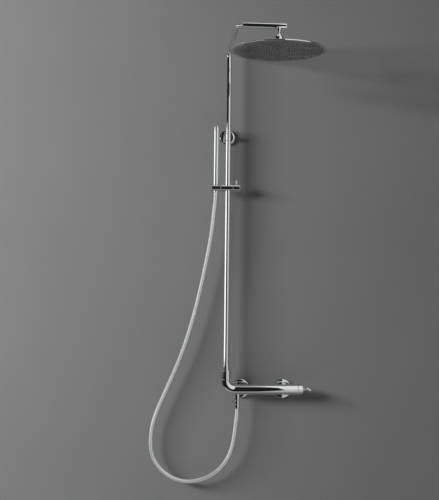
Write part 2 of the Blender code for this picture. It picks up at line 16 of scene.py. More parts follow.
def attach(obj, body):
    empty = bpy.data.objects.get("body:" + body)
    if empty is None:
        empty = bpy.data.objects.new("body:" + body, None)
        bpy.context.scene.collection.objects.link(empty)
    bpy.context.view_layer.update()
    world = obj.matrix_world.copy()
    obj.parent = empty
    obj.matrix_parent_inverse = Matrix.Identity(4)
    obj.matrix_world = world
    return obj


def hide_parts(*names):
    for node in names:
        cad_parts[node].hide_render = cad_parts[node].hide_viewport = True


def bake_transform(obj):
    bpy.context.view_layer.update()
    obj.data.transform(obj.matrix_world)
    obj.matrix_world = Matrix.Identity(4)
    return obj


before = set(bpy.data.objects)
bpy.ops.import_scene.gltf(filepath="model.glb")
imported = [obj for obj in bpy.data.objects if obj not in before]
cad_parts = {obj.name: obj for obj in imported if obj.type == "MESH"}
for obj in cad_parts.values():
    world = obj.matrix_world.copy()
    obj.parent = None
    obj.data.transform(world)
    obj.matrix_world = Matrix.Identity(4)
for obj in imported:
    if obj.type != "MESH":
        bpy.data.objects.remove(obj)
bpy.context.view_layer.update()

# Driving dimensions, as in the CAD ----------------------------------------------------------
GAP = 0.0003
INLETS_X = (-0.075, 0.075)
BODY_Y = -0.066
BODY_Z = 0.006
BODY_R = 0.018
RISER_X = -0.130
ELBOW_R = 0.032
BODY_END_X = 0.1213
CAP_END_X = 0.1386
SEAM_Z = 0.043
SOCKET_TOP_Z = 0.074
OUTLET_X = -0.0895
DIVERTER_Z = -0.0368
TUBE_R = 0.0105
FITTING_Z = 0.870
FITTING_TOP_Z = 0.894
COLLAR_TOP_Z = 0.918
BRACKET_Z = 0.888
ARM_R = 0.009
ARM_FOOT_Z = 0.725
ARM_Z = 1.1865
HEAD_Y = -0.399
ARM_END_X = 0.024
ARM_BEND_R = 0.028
ARM_CORNER_R = 0.033
HEAD_R = 0.148
FACE_Z = 1.108
BALL_Z = 1.147
BALL_R = 0.010
HOLDER_Z = 0.705
HOLDER_R = 0.013
HANDSET_X = -0.1715
HANDSET_R = 0.010
HANDSET_TOP_Z = 0.921
HOSE_R = 0.007

RISER = Vector((RISER_X, BODY_Y, 0))
MIXER = Vector((0, BODY_Y, BODY_Z))
OUTLET = Vector((OUTLET_X, BODY_Y, 0))
HEAD = Vector((0, HEAD_Y, FACE_Z))
BALL = Vector((0, HEAD_Y, BALL_Z))
HOLDER = Vector((0, BODY_Y, HOLDER_Z))
HANDSET = Vector((HANDSET_X, BODY_Y, 0))

# The free hose's route, from the outlet under the mixer to the foot of the hand shower.
HOSE_ROUTE = [
    (-0.0895, -0.066, -0.0603),
    (-0.0899, -0.066, -0.080),
    (-0.0929, -0.0655, -0.108),
    (-0.0978, -0.064, -0.150),
    (-0.1046, -0.061, -0.190),
    (-0.116, -0.057, -0.226),
    (-0.134, -0.054, -0.256),
    (-0.157, -0.052, -0.281),
    (-0.187, -0.050, -0.301),
    (-0.221, -0.048, -0.3135),
    (-0.257, -0.047, -0.3175),
    (-0.293, -0.046, -0.3115),
    (-0.328, -0.045, -0.2945),
    (-0.357, -0.045, -0.268),
    (-0.376, -0.045, -0.240),
    (-0.386, -0.045, -0.207),
    (-0.3877, -0.046, -0.167),
    (-0.3827, -0.047, -0.122),
    (-0.368, -0.048, -0.073),
    (-0.346, -0.049, -0.020),
    (-0.3215, -0.051, 0.036),
    (-0.2885, -0.053, 0.116),
    (-0.254, -0.056, 0.221),
    (-0.224, -0.059, 0.340),
    (-0.2027, -0.062, 0.444),
    (-0.1845, -0.064, 0.549),
    (-0.1763, -0.0655, 0.628),
    (-0.1727, -0.066, 0.664),
    (-0.1715, -0.066, 0.686),
    (-0.1715, -0.066, 0.704),
    (-0.1715, -0.066, 0.722),
]
HOSE_SPLIT_Z = 0.664  # above it the hose is a piece of its own
HOSE_STEP = 0.004  # between the rings of its tube
SETTLE = 0.0005  # from a bend's end to the next ring, so that the straight runs shade straight


def place(name, data):
    """A new object in the scene."""
    obj = bpy.data.objects.new(name, data)
    bpy.context.scene.collection.objects.link(obj)
    return obj


# Camera -------------------------------------------------------------------------------------
def add_camera():
    """Eye-level view from just left of the column's middle, turned slightly to the right."""
    lens = bpy.data.cameras.new("camera")
    lens.sensor_width, lens.lens = 36, 62.64
    lens.clip_start, lens.clip_end = 0.05, 40
    camera = place("camera", lens)
    at, yaw, roll = (-0.346, -3.08, 0.490), radians(3.595), radians(0.6)
    ahead = Vector((sin(yaw), cos(yaw), 0))
    level, up = Vector((cos(yaw), -sin(yaw), 0)), Vector((0, 0, 1))
    axes = (level * cos(roll) + up * sin(roll), up * cos(roll) - level * sin(roll), -ahead)
    camera.matrix_world = Matrix.Translation(at) @ Matrix(axes).transposed().to_4x4()
    bpy.context.scene.camera = camera


# Materials ----------------------------------------------------------------------------------
def add_node(tree, kind, *inputs, **settings):
    """A node of that kind, with settings on it and inputs given as (socket, value or output)."""
    node = tree.nodes.new("ShaderNode" + kind)
    for key, value in settings.items():
        setattr(node, key, value)
    for socket, value in inputs:
        if isinstance(value, bpy.types.NodeSocket):
            tree.links.new(value, node.inputs[socket])
        else:
            node.inputs[socket].default_value = value
    return node


class Nodes:
    """A material's node tree, with short ways to add and join nodes."""

    def __init__(self, name):
        self.material = bpy.data.materials.new(name)
        self.material.use_nodes = True
        self.tree = self.material.node_tree
        self.shader = self.tree.nodes["Principled BSDF"]
        coordinates = self.tree.nodes.new("ShaderNodeTexCoord")
        self.place, self.uv = coordinates.outputs["Object"], coordinates.outputs["UV"]

    def add(self, kind, *inputs, **settings):
        return add_node(self.tree, kind, *inputs, **settings)

    def fixed(self, **values):
        """Plain numbers and colours on the shader's own sockets."""
        for key, value in values.items():
            self.shader.inputs[key.replace("_", " ")].default_value = value

    def feed(self, socket, output):
        self.tree.links.new(output, self.shader.inputs[socket])

    def noise(self, scale, detail, stretch=(1, 1, 1)):
        """Noise of so many grains a metre, stretched along the axes."""
        at = self.add("Mapping", ("Vector", self.place), ("Scale", stretch))
        return self.add(
            "TexNoise", ("Vector", at.outputs[0]), ("Scale", scale), ("Detail", detail)
        ).outputs["Fac"]

    def spread(self, value, low, high, start=0.35, end=0.65):
        """The value from start to end, spread over low to high."""
        return self.add(
            "MapRange", ("Value", value), ("From Min", start), ("From Max", end),
            ("To Min", low), ("To Max", high)
        ).outputs["Result"]

    def tint(self, value, first, second):
        """A colour from first to second as the value rises."""
        mix = self.add("Mix", ("Factor", value), data_type="RGBA")
        colours = [i for i in mix.inputs if i.type == "RGBA"]
        colours[0].default_value, colours[1].default_value = (*first, 1), (*second, 1)
        self.feed("Base Color", [o for o in mix.outputs if o.type == "RGBA"][0])

    def relief(self, height, distance, strength=1.0, under=None):
        """Bumps of that height in metres."""
        inputs = [("Height", height), ("Distance", distance), ("Strength", strength)]
        if under:
            inputs.append(("Normal", under))
        bump = self.add("Bump", *inputs).outputs["Normal"]
        self.feed("Normal", bump)
        return bump


def chrome_finish():
    """Bright plating: a faint wipe of smears over a mirror, with a trace of orange peel."""
    made = Nodes("chrome_plate")
    made.fixed(Metallic=1.0)
    smears = made.noise(34, 5, (1, 1, 0.35))
    made.feed("Roughness", made.spread(smears, 0.012, 0.037, 0.5, 0.8))
    made.tint(made.noise(11, 2), (0.80, 0.81, 0.83), (0.88, 0.885, 0.89))
    made.relief(made.noise(900, 2), 0.0000015, 0.5)
    return made.material


def satin_steel():
    """Polished sheet steel with a warm cast and faint cloudy buffing."""
    made = Nodes("satin_steel")
    made.fixed(Metallic=1.0)
    clouds = made.noise(24, 4)
    made.feed("Roughness", made.spread(clouds, 0.10, 0.20, 0.3, 0.75))
    made.tint(made.noise(90, 5), (0.46, 0.45, 0.43), (0.62, 0.61, 0.585))
    made.relief(made.noise(300, 4), 0.00002, 0.5)
    return made.material


def steel_finish():
    """Plain stainless hardware with drawn, slightly uneven brushing."""
    made = Nodes("brushed_steel")
    made.fixed(Metallic=1.0)
    drawn = made.noise(500, 3, (1, 1, 0.05))
    made.feed("Roughness", made.spread(drawn, 0.22, 0.38))
    made.tint(made.noise(40, 3), (0.52, 0.52, 0.52), (0.66, 0.66, 0.65))
    made.relief(drawn, 0.00002, 0.5)
    return made.material


def brass_finish():
    """Turned brass, dulled in patches."""
    made = Nodes("turned_brass")
    made.fixed(Metallic=1.0)
    turning = made.noise(900, 2, (0.04, 1, 0.04))
    dull = made.noise(70, 5)
    made.feed("Roughness", made.spread(dull, 0.25, 0.48))
    made.tint(made.spread(dull, 0, 1), (0.76, 0.58, 0.27), (0.55, 0.39, 0.17))
    made.relief(turning, 0.00003, 0.6)
    return made.material


def plastic_finish():
    """White acetal with a fine moulded grain."""
    made = Nodes("moulded_acetal")
    made.feed("Roughness", made.spread(made.noise(120, 3), 0.38, 0.52))
    made.tint(made.noise(30, 2), (0.80, 0.80, 0.77), (0.86, 0.86, 0.84))
    made.relief(made.noise(2500, 2), 0.00002, 0.5)
    return made.material


def rubber_finish():
    """Black rubber with a matt bloom."""
    made = Nodes("moulded_rubber")
    made.feed("Roughness", made.spread(made.noise(200, 4), 0.60, 0.82))
    made.tint(made.noise(90, 4), (0.018, 0.018, 0.019), (0.045, 0.044, 0.043))
    made.relief(made.noise(1800, 3), 0.00004, 0.6)
    return made.material


def silicone_finish():
    """Grey silicone with a soft sheen."""
    made = Nodes("soft_silicone")
    made.fixed(Subsurface_Weight=0.05, Subsurface_Radius=(0.002, 0.002, 0.002))
    made.feed("Roughness", made.spread(made.noise(150, 3), 0.42, 0.60))
    made.tint(made.noise(60, 3), (0.10, 0.10, 0.10), (0.16, 0.16, 0.155))
    made.relief(made.noise(1500, 2), 0.00003, 0.5)
    return made.material


def hose_finish():
    """Smooth silver hose: a metallic foil seen through clear skin, with a faint spiral."""
    made = Nodes("satin_silver_hose")
    made.fixed(Metallic=0.75, Coat_Weight=0.35, Coat_Roughness=0.12)
    split = made.add("SeparateXYZ", ("Vector", made.uv))
    turns = made.add("Math", (0, split.outputs["Y"]), (1, 1 / 0.0032), operation="MULTIPLY")
    phase = made.add("Math", (0, turns.outputs[0]), (1, split.outputs["X"]), operation="ADD")
    angle = made.add("Math", (0, phase.outputs[0]), (1, 2 * pi), operation="MULTIPLY")
    wave = made.add("Math", (0, angle.outputs[0]), operation="SINE").outputs[0]
    fine = made.noise(700, 3)
    made.feed("Roughness", made.spread(fine, 0.26, 0.38))
    made.tint(made.spread(wave, 0, 1, -1, 1), (0.80, 0.81, 0.82), (0.88, 0.885, 0.89))
    bump = made.relief(wave, 0.00006, 0.7)
    made.relief(fine, 0.00002, 0.4, under=bump)
    return made.material


FINISHES = {
    "chrome": chrome_finish(),
    "brass": brass_finish(),
    "stainless_steel": steel_finish(),
    "white_acetal": plastic_finish(),
    "black_rubber": rubber_finish(),
    "grey_silicone": silicone_finish(),
    "satin_hose": hose_finish(),
}


# Mesh helpers -------------------------------------------------------------------------------
def dress(obj, body, slot, nodes=(), finish=None):
    """Give a finished piece its body and its finish (the slot's, unless another is given), and hide the CAD
    nodes that it stands for.
    """
    obj.data.materials.clear()
    obj.data.materials.append(finish or FINISHES[slot])
    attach(obj, body)
    if nodes:
        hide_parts(*nodes)


def aim(axis):
    """The rotation that turns +Z to one of the named directions."""
    return {
        "Z": Matrix.Identity(4),
        "X": Matrix.Rotation(pi / 2, 4, "Y"),
        "-X": Matrix.Rotation(-pi / 2, 4, "Y"),
        "Y": Matrix.Rotation(-pi / 2, 4, "X"),
        "-Y": Matrix.Rotation(pi / 2, 4, "X"),
    }[axis]


def shade(obj, angle=32):
    """Smooth shading, with edges sharper than that angle in degrees kept sharp."""
    obj.data.shade_smooth()
    obj.data.set_sharp_from_angle(angle=radians(angle))


def mesh_of(name, form):
    mesh = bpy.data.meshes.new(name)
    form.to_mesh(mesh)
    form.free()
    return mesh


def skin(name, rings, closed, lengths=None):
    """A mesh stretched over rings of points, with its UV as (turns round, metres along)."""
    sides = max(len(r) for r in rings)
    form = bmesh.new()
    layer = form.loops.layers.uv.new("UVMap")
    made = [[form.verts.new(p) for p in ring] for ring in rings]
    if lengths is None:
        lengths = [0.0]
        for a, b in zip(rings, rings[1:]):
            lengths.append(lengths[-1] + (Vector(b[0]) - Vector(a[0])).length)
    pairs = list(zip(range(len(made) - 1), range(1, len(made))))
    if closed:
        pairs.append((len(made) - 1, 0))
    for low, high in pairs:
        a, b = made[low], made[high]
        for i in range(sides):
            j = (i + 1) % sides
            corners = [(a[i % len(a)], i, low), (a[j % len(a)], i + 1, low)]
            corners += [(b[j % len(b)], i + 1, high), (b[i % len(b)], i, high)]
            if len(a) == 1:
                corners = [corners[0], *corners[2:]]
            if len(b) == 1:
                corners = corners[:3]
            face = form.faces.new([c[0] for c in corners])
            for loop, (_, turn, row) in zip(face.loops, corners):
                loop[layer].uv = (turn / sides, lengths[row])
    bmesh.ops.recalc_face_normals(form, faces=form.faces)
    obj = place(name, mesh_of(name, form))
    shade(obj)
    return obj


def circle(radius, height, sides):
    """A ring of points round the Z axis."""
    turns = [2 * pi * i / sides for i in range(sides)]
    return [(radius * cos(t), radius * sin(t), height) for t in turns]


def rounded(profile, closed):
    """The profile's corners, those with a third number turned into arcs of that radius."""
    corners = [Vector(p[:2]) for p in profile]
    out = []
    for i, corner in enumerate(corners):
        radius = profile[i][2] if len(profile[i]) > 2 else 0
        if not radius or (not closed and i in (0, len(corners) - 1)):
            out.append(corner)
            continue
        back, on = corners[i - 1] - corner, corners[(i + 1) % len(corners)] - corner
        half = back.angle(on) / 2
        reach = min(radius / tan(half), back.length * 0.48, on.length * 0.48)
        radius = reach * tan(half)
        back.normalize()
        on.normalize()
        centre = corner + (back + on).normalized() * (radius / sin(half))
        start, end, sweep = corner + back * reach - centre, corner + on * reach - centre, pi - 2 * half
        steps = max(2, ceil(sweep / radians(20)))
        for k in range(steps + 1):
            t = k / steps
            weights = sin((1 - t) * sweep) / sin(sweep), sin(t * sweep) / sin(sweep)
            out.append(centre + start * weights[0] + end * weights[1])
    return out


def flowing(profile):
    """A profile that passes smoothly through the given points."""
    return [tuple(p.xy) for p in smooth_curve([(r, h, 0) for r, h in profile], 6)]


def settled(points, closed):
    """The points with two more on each long stretch, close to its ends, so that it shades straight."""
    out = []
    for start, end in zip(points, [*points[1:], points[0]]):
        out.append(start)
        if (end - start).length > 6 * SETTLE and (closed or end != points[0]):
            step = (end - start).normalized() * SETTLE
            out += [start + step, end - step]
    return out


def lathe(name, profile, at=(0, 0, 0), axis="Z", sides=72, closed=False):
    """A piece of revolution. The profile is (radius, height) or (radius, height, corner radius)."""
    rings = []
    for r, h in settled(rounded(profile, closed), closed):
        rings.append([(0, 0, h)] if r < 1e-6 else circle(r, h, sides))
    obj = skin(name, rings, closed)
    obj.data.transform(Matrix.Translation(at) @ aim(axis))
    return obj


def bar(name, radius, low, high, at, axis="Z", corner=0.0006, sides=72):
    """A solid cylinder with rounded edges."""
    profile = [(0, high), (radius, high, corner), (radius, low, corner), (0, low)]
    return lathe(name, profile, at, axis, sides)


def sleeve(name, outer, inner, low, high, at, axis="Z", corner=0.0003, sides=72):
    """A tube from low to high with rounded edges."""
    profile = [(r, h, corner) for r, h in ((outer, high), (outer, low), (inner, low), (inner, high))]
    return lathe(name, profile, at, axis, sides, closed=True)


def smooth_curve(points, steps=12):
    """Many points on a smooth curve that passes through the given ones."""
    knots = [Vector(p) for p in points]
    ends = [2 * knots[0] - knots[1], *knots, 2 * knots[-1] - knots[-2]]
    dense = []
    for before, start, end, after in zip(ends, ends[1:], ends[2:], ends[3:]):
        third = (end - start).length / 3
        leave = start + (end - before).normalized() * third
        arrive = end - (after - start).normalized() * third
        dense += interpolate_bezier(start, leave, arrive, end, steps + 1)[:-1]
    return [*dense, knots[-1]]


def even_points(line, step):
    """Points spaced evenly along a line of many points."""
    lengths = [0.0]
    for a, b in zip(line, line[1:]):
        lengths.append(lengths[-1] + (b - a).length)
    count = round(lengths[-1] / step)
    spaced, i = [], 0
    for k in range(count + 1):
        want = lengths[-1] * k / count
        while i < len(line) - 2 and lengths[i + 1] < want:
            i += 1
        share = (want - lengths[i]) / (lengths[i + 1] - lengths[i])
        spaced.append(line[i].lerp(line[i + 1], share))
    return spaced


def pipe(name, line, radius, sides=64, ends=0.0006, inner=None, first=0.0):
    """A round bar along a line, with rounded ends. inner(point) gives the radii of its bore there."""
    line = [Vector(p) for p in line]
    if ends and (line[1] - line[0]).length > 4 * ends + 4 * SETTLE:
        line.insert(1, line[0] + (line[1] - line[0]).normalized() * (ends + SETTLE))
    if ends and (line[-2] - line[-1]).length > 4 * ends + 4 * SETTLE:
        line.insert(-1, line[-1] + (line[-2] - line[-1]).normalized() * (ends + SETTLE))
    legs = [(b - a).normalized() for a, b in zip(line, line[1:])]
    ways = [legs[0], *[(a + b).normalized() for a, b in zip(legs, legs[1:])], legs[-1]]
    along = [first]
    for a, b in zip(line, line[1:]):
        along.append(along[-1] + (b - a).length)
    circles, side = [], ways[0].orthogonal()
    for way in ways:
        side = (side - way * side.dot(way)).normalized()
        across = way.cross(side)
        angles = [2 * pi * i / sides for i in range(sides)]
        circles.append([side * cos(t) + across * sin(t) for t in angles])

    def ring(i, r, shift=0.0):
        return [line[i] + ways[i] * shift + c * r for c in circles[i]]

    turns = [radians(22.5 * k) for k in range(5)] if ends else [0]
    last = len(line) - 1
    head = [ring(0, radius - ends * (1 - sin(t)), ends * (1 - cos(t))) for t in turns]
    tail = [ring(last, radius - ends * (1 - sin(t)), -ends * (1 - cos(t))) for t in reversed(turns)]
    rings = [*head, *[ring(i, radius) for i in range(1, last)], *tail]
    lengths = [*[along[0]] * len(turns), *along[1:-1], *[along[-1]] * len(turns)]
    if not inner:
        rings, lengths = [[line[0]], *rings, [line[-1]]], [along[0], *lengths, along[-1]]
        return skin(name, rings, False, lengths)
    for i in reversed(range(last + 1)):
        for r in inner(line[i]):
            rings.append(ring(i, r))
            lengths.append(along[i])
    return skin(name, rings, True, lengths)


def combine(obj, *tools, operation="DIFFERENCE"):
    """Cut the tools from a piece, or join them to it, and leave one plain mesh."""
    for tool in tools:
        step = obj.modifiers.new("step", "BOOLEAN")
        step.operation, step.solver, step.object = operation, "EXACT", tool
        bpy.context.view_layer.update()
        seen = obj.evaluated_get(bpy.context.evaluated_depsgraph_get())
        mesh = bpy.data.meshes.new_from_object(seen)
        obj.modifiers.clear()
        obj.data = mesh
        bpy.data.objects.remove(tool, do_unlink=True)
    shade(obj)


def box(name, low, high):
    """A plain block between two corners, to cut with."""
    form = bmesh.new()
    bmesh.ops.create_cube(form, size=1)
    low, high = Vector(low), Vector(high)
    bmesh.ops.scale(form, vec=high - low, verts=form.verts)
    bmesh.ops.translate(form, vec=(low + high) / 2, verts=form.verts)
    return place(name, mesh_of(name, form))


def copy_of(obj, name, offset):
    """A moved copy of a piece with a mesh of its own."""
    made = place(name, obj.data.copy())
    made.data.transform(Matrix.Translation(offset))
    return made


def arc(centre, start, end, steps):
    """Points on the quarter turn from centre + start to centre + end."""
    centre, start, end = Vector(centre), Vector(start), Vector(end)
    turns = [pi / 2 * i / steps for i in range(steps + 1)]
    return [centre + start * cos(t) + end * sin(t) for t in turns]


def sphere_arc(radius, start, end, steps):
    """Profile points on a sphere between two latitudes in degrees."""
    angles = [radians(start + (end - start) * i / steps) for i in range(steps + 1)]
    return [(radius * cos(a), radius * sin(a)) for a in angles]


# Hose ---------------------------------------------------------------------------------------
def hose():
    """One free hose. Its last few centimetres are a piece of their own."""
    route = even_points(smooth_curve(HOSE_ROUTE), HOSE_STEP)
    split = next(i for i, p in enumerate(route) if p.z > HOSE_SPLIT_Z)
    path, top = route[: split + 1], route[split:]
    long = pipe("hose_fine", path, HOSE_R, sides=32, ends=0.0002)
    dress(long, "column", "satin_hose", ["hose"])
    long.parent = None
    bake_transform(long)
    run = sum((b - a).length for a, b in zip(path, path[1:]))
    end = pipe("hose_end_fine", top, HOSE_R, sides=32, ends=0.0002, first=run)
    dress(end, "slider", "satin_hose")
    end.parent = None
    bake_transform(end)


# Wall inlets --------------------------------------------------------------------------------
def threaded_tail(name, radius, low, high, bore, pitch=0.0018, depth=0.0008, sides=64):
    """A pipe end with a helical thread, hollow, along +Z."""
    rows = ceil((high - low) / (pitch / 8))
    rings = []
    for k in range(rows + 1):
        h = low + (high - low) * k / rows
        fade = min(1, (h - low) / pitch, (high - h) / pitch)
        ring = []
        for i in range(sides):
            t = i / sides
            phase = (h / pitch + t) % 1
            r = radius - depth * (1 - fade * (1 - abs(2 * phase - 1)))
            ring.append((r * cos(2 * pi * t), r * sin(2 * pi * t), h))
        rings.append(ring)
    rings += [circle(bore, h, sides) for h in (high, low)]
    return skin(name, rings, True)


def inlets():
    """Both wall connections. The right-hand one repeats the left-hand one."""
    left, right = INLETS_X
    wall, mixer = Vector((left, 0, 0)), Vector((left, 0, BODY_Z))
    turn = Matrix.Translation(wall) @ aim("-Y")

    tail = threaded_tail("s_union_left_fine", 0.0100, -0.0140, -0.0006, 0.0062)
    tail.data.transform(turn)
    body = bar("union_body", 0.0099, -0.0010, 0.0225, wall, "-Y", 0.0004)
    seat = bar("union_seat", 0.0129, 0.0180, 0.0360, mixer, "-Y", 0.0005)
    combine(tail, body, seat, operation="UNION")
    narrow = bar("bore", 0.0062, -0.0200, 0.0205, wall, "-Y")
    wide = bar("bore", 0.0082, 0.0190, 0.040, mixer, "-Y")
    combine(tail, narrow, wide)

    dome = [(r, 0.0093 - r * r / 1.24) for r in (0.0108, 0.0150, 0.0190, 0.0230, 0.0270, 0.0300)]
    outside = [*dome, (0.0332, 0.0083, 0.0020), (0.0332, 0, 0.0004)]
    inside = [(0.0310, 0), (0.0310, 0.0050), (0.0258, 0.0068), (0.0108, 0.0076)]
    cover = lathe("escutcheon_left_fine", outside + inside, wall, "-Y", 96, closed=True)

    shell = [(0, 0.0457), (0.0152, 0.0457, 0.0004), (0.0180, 0.0440), (0.0180, 0.0247)]
    shell += [(0.0152, 0.0230, 0.0004), (0, 0.0230)]
    nut = lathe("union_nut_left_fine", shell, mixer, "-Y", 96)
    prism = bar("prism", 0.0173, 0.0220, 0.0467, mixer, "-Y", 0, sides=6)
    combine(nut, prism, operation="INTERSECT")
    thread = bar("bore", 0.0134, 0.015, 0.0412, mixer, "-Y")
    neck = bar("bore", 0.0104, 0.040, 0.050, mixer, "-Y")
    combine(nut, thread, neck)

    for kind, piece in (("s_union", tail), ("escutcheon", cover), ("union_nut", nut)):
        twin = copy_of(piece, f"{kind}_right_fine", (right - left, 0, 0))
        dress(piece, "column", "chrome", [f"{kind}_left"])
        dress(twin, "column", "chrome", [f"{kind}_right"])
        shade(twin)


# Mixer --------------------------------------------------------------------------------------
def mixer():
    """The L-shaped hollow body with its spigots and outlet neck, and the riser's socket on it."""
    step_x, narrow, wide = 0.083, 0.0130, 0.0155  # where the bore widens for the cartridge
    centre = (RISER_X + ELBOW_R, BODY_Y, BODY_Z + ELBOW_R)
    bend = arc(centre, (-ELBOW_R, 0, 0), (0, 0, -ELBOW_R), 28)
    stations = (centre[0] + SETTLE, -0.020, step_x, 0.110, BODY_END_X)
    straight = [Vector((x, BODY_Y, BODY_Z)) for x in stations]
    line = [Vector((RISER_X, BODY_Y, z)) for z in (SEAM_Z, centre[2] + SETTLE)] + bend + straight

    def bore(point):
        if abs(point.x - step_x) < 1e-6:
            return (wide, narrow)
        return (wide,) if point.x > step_x else (narrow,)

    body = pipe("mixer_body_fine", line, BODY_R, sides=96, ends=0.0005, inner=bore)
    for x in INLETS_X:
        at = Vector((x, 0, BODY_Z))
        spigot = [(0, 0.056), (0.0100, 0.056), (0.0100, 0.0408, 0.0004), (0.0129, 0.0408, 0.0003)]
        spigot += [(0.0129, 0.0384, 0.0003), (0, 0.0384)]
        combine(body, lathe("spigot", spigot, at, "-Y"), operation="UNION")
        combine(body, bar("spigot_bore", 0.0070, 0.030, 0.060, at, "-Y"))
    neck = [(0, -0.004), (0.0088, -0.004), (0.0088, -0.0310, 0.0004), (0, -0.0310)]
    combine(body, lathe("outlet_neck", neck, OUTLET), operation="UNION")
    combine(body, bar("outlet_bore", 0.0055, -0.040, 0.000, OUTLET))
    dress(body, "column", "chrome", ["mixer_body"])

    seam = SEAM_Z + GAP
    outside = [(0.0117, 0.0840, 0.0003), (0.0117, SOCKET_TOP_Z, 0.0005), (BODY_R, SOCKET_TOP_Z, 0.0011)]
    outside += [(BODY_R, seam, 0.0005), (0.0122, seam), (0.0122, 0.0385)]
    inside = [(0.0080, 0.0385), (0.0080, 0.0580), (0.0108, 0.0580), (0.0108, 0.0840)]
    socket = lathe("riser_socket_fine", outside + inside, RISER, sides=96, closed=True)
    dress(socket, "column", "chrome", ["riser_socket"])
    top = SOCKET_TOP_Z + GAP
    nut = [(0.0130, 0.0920, 0.0007), (0.0130, top, 0.0003), (0.0120, top), (0.0120, 0.0876)]
    nut += [(0.0108, 0.0882), (0.0108, 0.0920, 0.0002)]
    nut = lathe("riser_nut_fine", nut, RISER, closed=True)
    dress(nut, "column", "chrome", ["riser_nut"])


def handle():
    """The end cap with its slot, and the pin lever."""
    top, foot = CAP_END_X, BODY_END_X + GAP
    shell = [(0, top), (BODY_R, top, 0.0015), (BODY_R, foot, 0.0005), (0.0156, foot)]
    shell += [(0.0156, top - 0.0040), (0, top - 0.0040)]
    cap = lathe("temperature_cap_fine", shell, MIXER, "X", 96)
    half, reach, depth = 0.0046, 0.010, 0.0138
    low, high = top - reach, top + reach
    hole = bar("lever_hole", half, low, high, MIXER, "X", sides=48)
    far = bar("slot_end", half, low, high, MIXER + Vector((0, depth - half, 0)), "X", sides=48)
    corner = (high, BODY_Y + depth - half, BODY_Z + half)
    slot = box("lever_slot", (low, BODY_Y, BODY_Z - half), corner)
    combine(cap, hole, slot, far)
    dress(cap, "temperature", "chrome", ["temperature_cap"])

    rise = [(0.1440, 0.0), (0.1495, 0.0009), (0.1545, 0.0026), (0.1590, 0.0008), (0.1680, -0.0052)]
    crank = smooth_curve([(x, BODY_Y, BODY_Z + z) for x, z in rise], 8)
    line = [Vector((0.1256, BODY_Y, BODY_Z)), *crank]
    dress(pipe("lever_fine", line, 0.0048, sides=40, ends=0.0032), "lever", "chrome", ["lever"])


def outlet():
    """The diverter under the mixer, its pull knob and the hose's lower nut."""
    knob_at = OUTLET + Vector((0, 0, DIVERTER_Z))
    valve = [(0.0082, -0.0313, 0.0005), (0.0082, -0.0440, 0.0005), (0.0045, -0.0440), (0.0045, -0.0313)]
    valve = lathe("diverter_body_fine", valve, OUTLET, closed=True)
    combine(valve, bar("knob_bore", 0.0023, 0.003, 0.020, knob_at, "-X", 0.0003, sides=32))
    dress(valve, "column", "chrome", ["diverter_body"])

    knob = [(0, 0.0170), (0.0048, 0.0170, 0.0010), (0.0048, 0.0106, 0.0006), (0.0020, 0.0106, 0.0003)]
    knob += [(0.0020, -0.0020, 0.0003), (0, -0.0020)]
    knob = lathe("diverter_knob_fine", knob, knob_at, "-X", 48)
    dress(knob, "diverter_knob", "chrome", ["diverter_knob"])

    foot = -0.0597
    nut = [(0.0092, -0.0443, 0.0009), (0.0092, -0.0500, 0.0010), (0.0076, foot, 0.0005)]
    nut += [(0.0040, foot), (0.0040, -0.0500), (0.0070, -0.0500), (0.0070, -0.0443)]
    nut = lathe("hose_nut_lower_fine", nut, OUTLET, closed=True)
    dress(nut, "column", "chrome", ["hose_nut_lower"])


# Riser and bracket --------------------------------------------------------------------------
def riser():
    """The lower tube, the fitting on its top end and the locking collar."""
    bore, end = 0.00935, FITTING_Z - GAP
    tube = sleeve("lower_tube_fine", TUBE_R, bore, 0.0583, end, RISER, corner=0.0004, sides=80)
    dress(tube, "column", "chrome", ["lower_tube"])

    top = FITTING_TOP_Z
    shell = [(TUBE_R, top, 0.0011), (TUBE_R, FITTING_Z, 0.0004), (bore, FITTING_Z), (bore, top)]
    fitting = lathe("tube_head_fine", shell, RISER, sides=80, closed=True)
    boss = bar("boss", 0.0050, 0.0096, 0.0125, RISER + Vector((0, 0, BRACKET_Z)), "Y", 0.0003)
    combine(fitting, boss, operation="UNION")
    dress(fitting, "column", "chrome", ["tube_head"])
    collar = sleeve("lock_collar_fine", 0.0100, 0.0093, top + GAP, COLLAR_TOP_Z, RISER, sides=80)
    dress(collar, "column", "chrome", ["lock_collar"])


